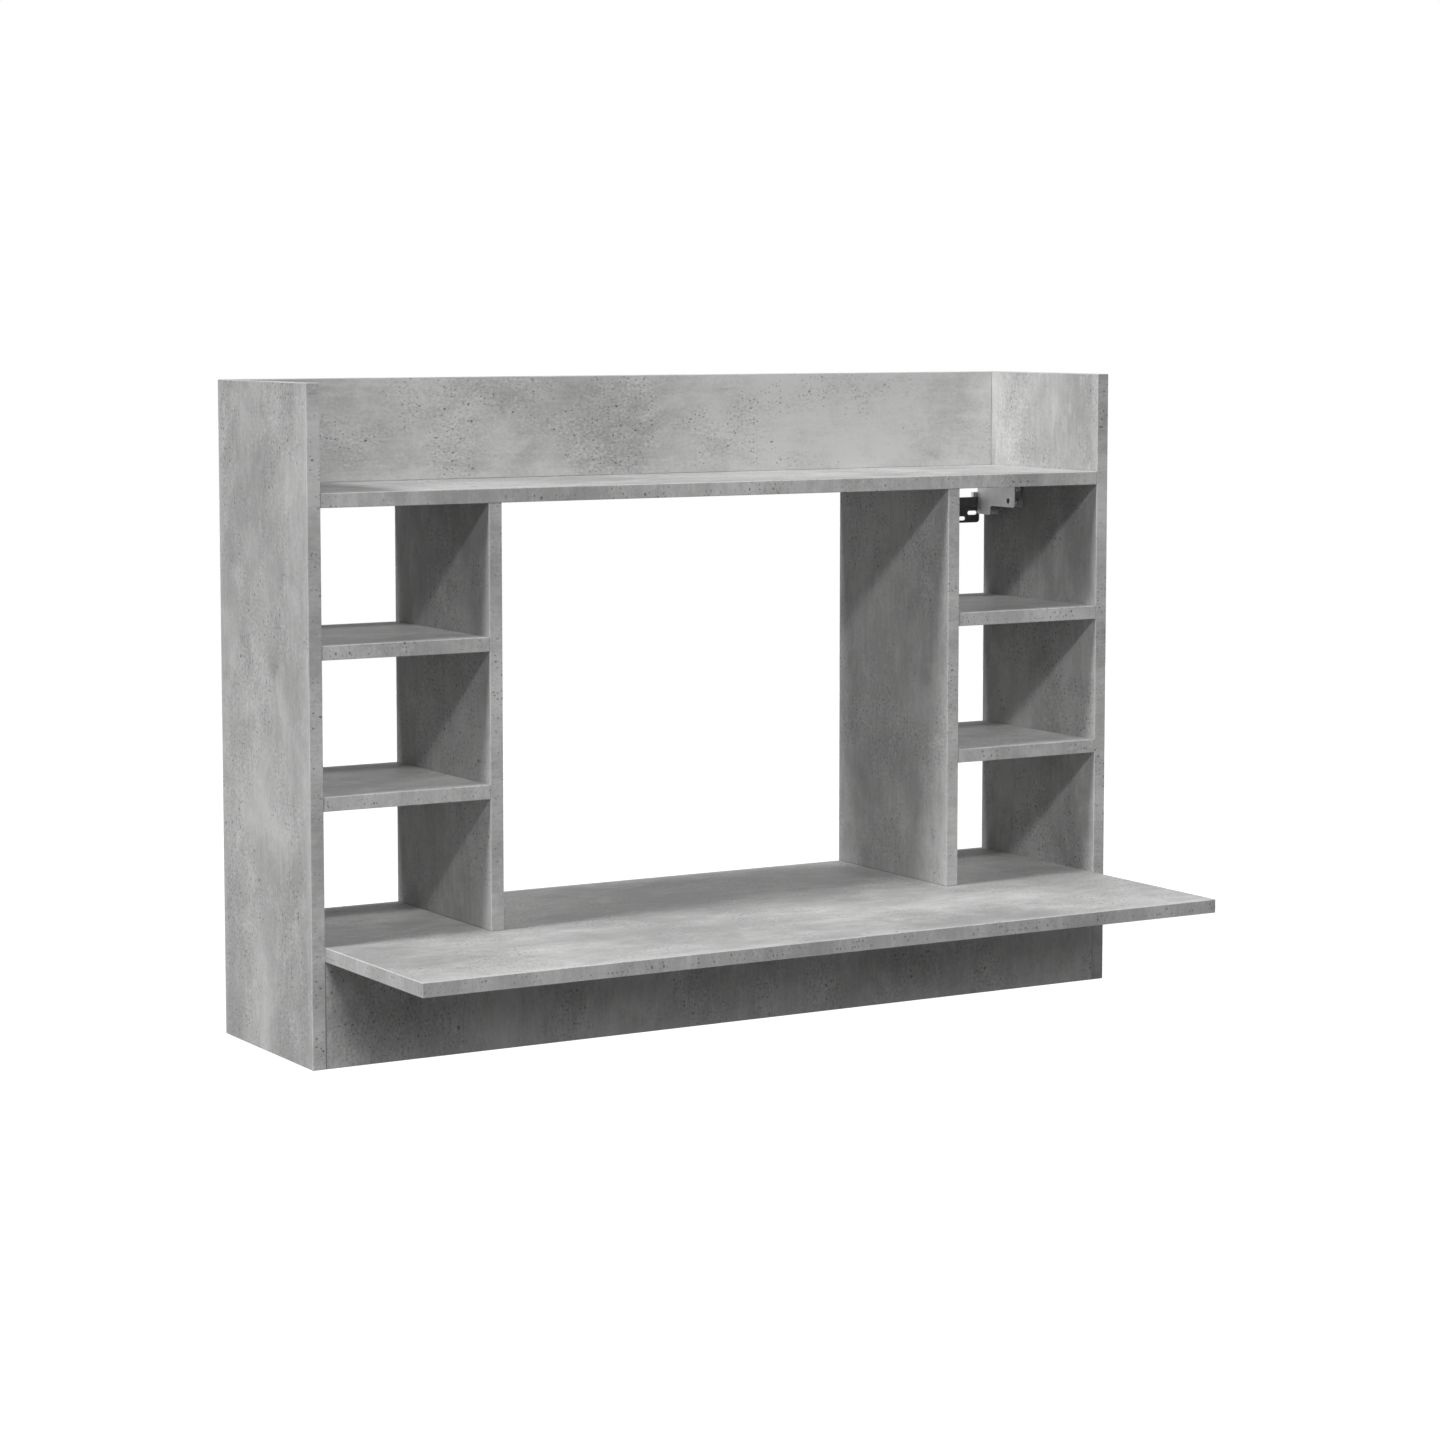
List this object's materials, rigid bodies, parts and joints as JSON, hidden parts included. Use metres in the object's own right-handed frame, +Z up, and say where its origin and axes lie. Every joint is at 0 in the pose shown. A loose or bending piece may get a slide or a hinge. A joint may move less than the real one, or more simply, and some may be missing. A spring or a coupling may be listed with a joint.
{
  "type": "wall-mounted desk",
  "caption": "Wall-hung desk of flat boards: open cubbies at both sides, a tray shelf above and a writing top that reaches out over an apron, hung on adjustable hooks and wall plates.",
  "frame": {"origin": "on the wall plane, midway between the two wall plates, at the height of their upper screw slots", "axes": "+X to the right as seen from the front, +Y into the wall, +Z up"},
  "size_m": [1, 0.45, 0.7],
  "materials": {
    "concrete_board": "matte",
    "hanger_sheet": "satin",
    "zinc_fitting": "satin",
    "plated_steel": "satin",
    "wall_plate_steel": "satin",
    "beech_dowel": "matte",
    "cap_film": "matte"
  },
  "bodies": {
    "carcass": {"left_side_panel": "concrete_board", "right_side_panel": "concrete_board", "top_shelf": "concrete_board", "upper_back_strip": "concrete_board", "left_divider": "concrete_board", "right_divider": "concrete_board", "left_upper_cubby_shelf": "concrete_board", "left_lower_cubby_shelf": "concrete_board", "right_upper_cubby_shelf": "concrete_board", "right_lower_cubby_shelf": "concrete_board", "desktop": "concrete_board", "front_apron": "concrete_board", "cam_locks": "zinc_fitting", "cam_bolts": "plated_steel", "wood_dowels": "beech_dowel", "confirmat_screws": "plated_steel", "screw_cover_caps": "cap_film", "hanger_fixing_screws": "plated_steel", "left_hanger_housing": "hanger_sheet", "right_hanger_housing": "hanger_sheet"},
    "left_carriage": {"left_hanger_carriage": "zinc_fitting"},
    "left_hook": {"left_hanger_hook": "plated_steel"},
    "left_wall_plate": {"left_wall_plate": "wall_plate_steel"},
    "left_depth_screw": {"left_depth_screw": "plated_steel"},
    "left_height_screw": {"left_height_screw": "plated_steel"},
    "right_carriage": {"right_hanger_carriage": "zinc_fitting"},
    "right_hook": {"right_hanger_hook": "plated_steel"},
    "right_wall_plate": {"right_wall_plate": "wall_plate_steel"},
    "right_depth_screw": {"right_depth_screw": "plated_steel"},
    "right_height_screw": {"right_height_screw": "plated_steel"}
  },
  "joints": [
    {"name": "left_depth_screw_turn", "type": "hinge", "parent": "carcass", "child": "left_depth_screw", "pos_m": [-0.47825, -0.05, 0.0316], "axis": [0, -1, 0], "range_deg": [0, 3600]},
    {"name": "left_carriage_slide", "type": "slide", "parent": "carcass", "child": "left_carriage", "axis": [0, 1, 0], "range_m": [0, 0.008]},
    {"name": "left_height_screw_turn", "type": "hinge", "parent": "left_carriage", "child": "left_height_screw", "pos_m": [-0.47825, -0.019, 0.0226], "axis": [0, 0, -1], "range_deg": [-2572, 2572]},
    {"name": "left_hook_lift", "type": "slide", "parent": "left_carriage", "child": "left_hook", "axis": [0, 0, 1], "range_m": [-0.005, 0.005]},
    {"name": "left_lift_off", "type": "slide", "parent": "left_hook", "child": "left_wall_plate", "axis": [0, 0, -1], "range_m": [0, 0.01]},
    {"name": "right_depth_screw_turn", "type": "hinge", "parent": "carcass", "child": "right_depth_screw", "pos_m": [0.47825, -0.05, 0.0316], "axis": [0, -1, 0], "range_deg": [0, 3600]},
    {"name": "right_carriage_slide", "type": "slide", "parent": "carcass", "child": "right_carriage", "axis": [0, 1, 0], "range_m": [0, 0.008]},
    {"name": "right_height_screw_turn", "type": "hinge", "parent": "right_carriage", "child": "right_height_screw", "pos_m": [0.47825, -0.019, 0.0226], "axis": [0, 0, -1], "range_deg": [-2572, 2572]},
    {"name": "right_hook_lift", "type": "slide", "parent": "right_carriage", "child": "right_hook", "axis": [0, 0, 1], "range_m": [-0.005, 0.005]},
    {"name": "right_lift_off", "type": "slide", "parent": "right_hook", "child": "right_wall_plate", "axis": [0, 0, -1], "range_m": [0, 0.01]}
  ],
  "couplings": [
    {"joint": "left_depth_screw_turn", "follows": "left_carriage_slide", "rad_per_m": 7853.9},
    {"joint": "left_height_screw_turn", "follows": "left_hook_lift", "rad_per_m": 8975.9},
    {"joint": "right_depth_screw_turn", "follows": "right_carriage_slide", "rad_per_m": 7853.9},
    {"joint": "right_height_screw_turn", "follows": "right_hook_lift", "rad_per_m": 8975.9}
  ]
}
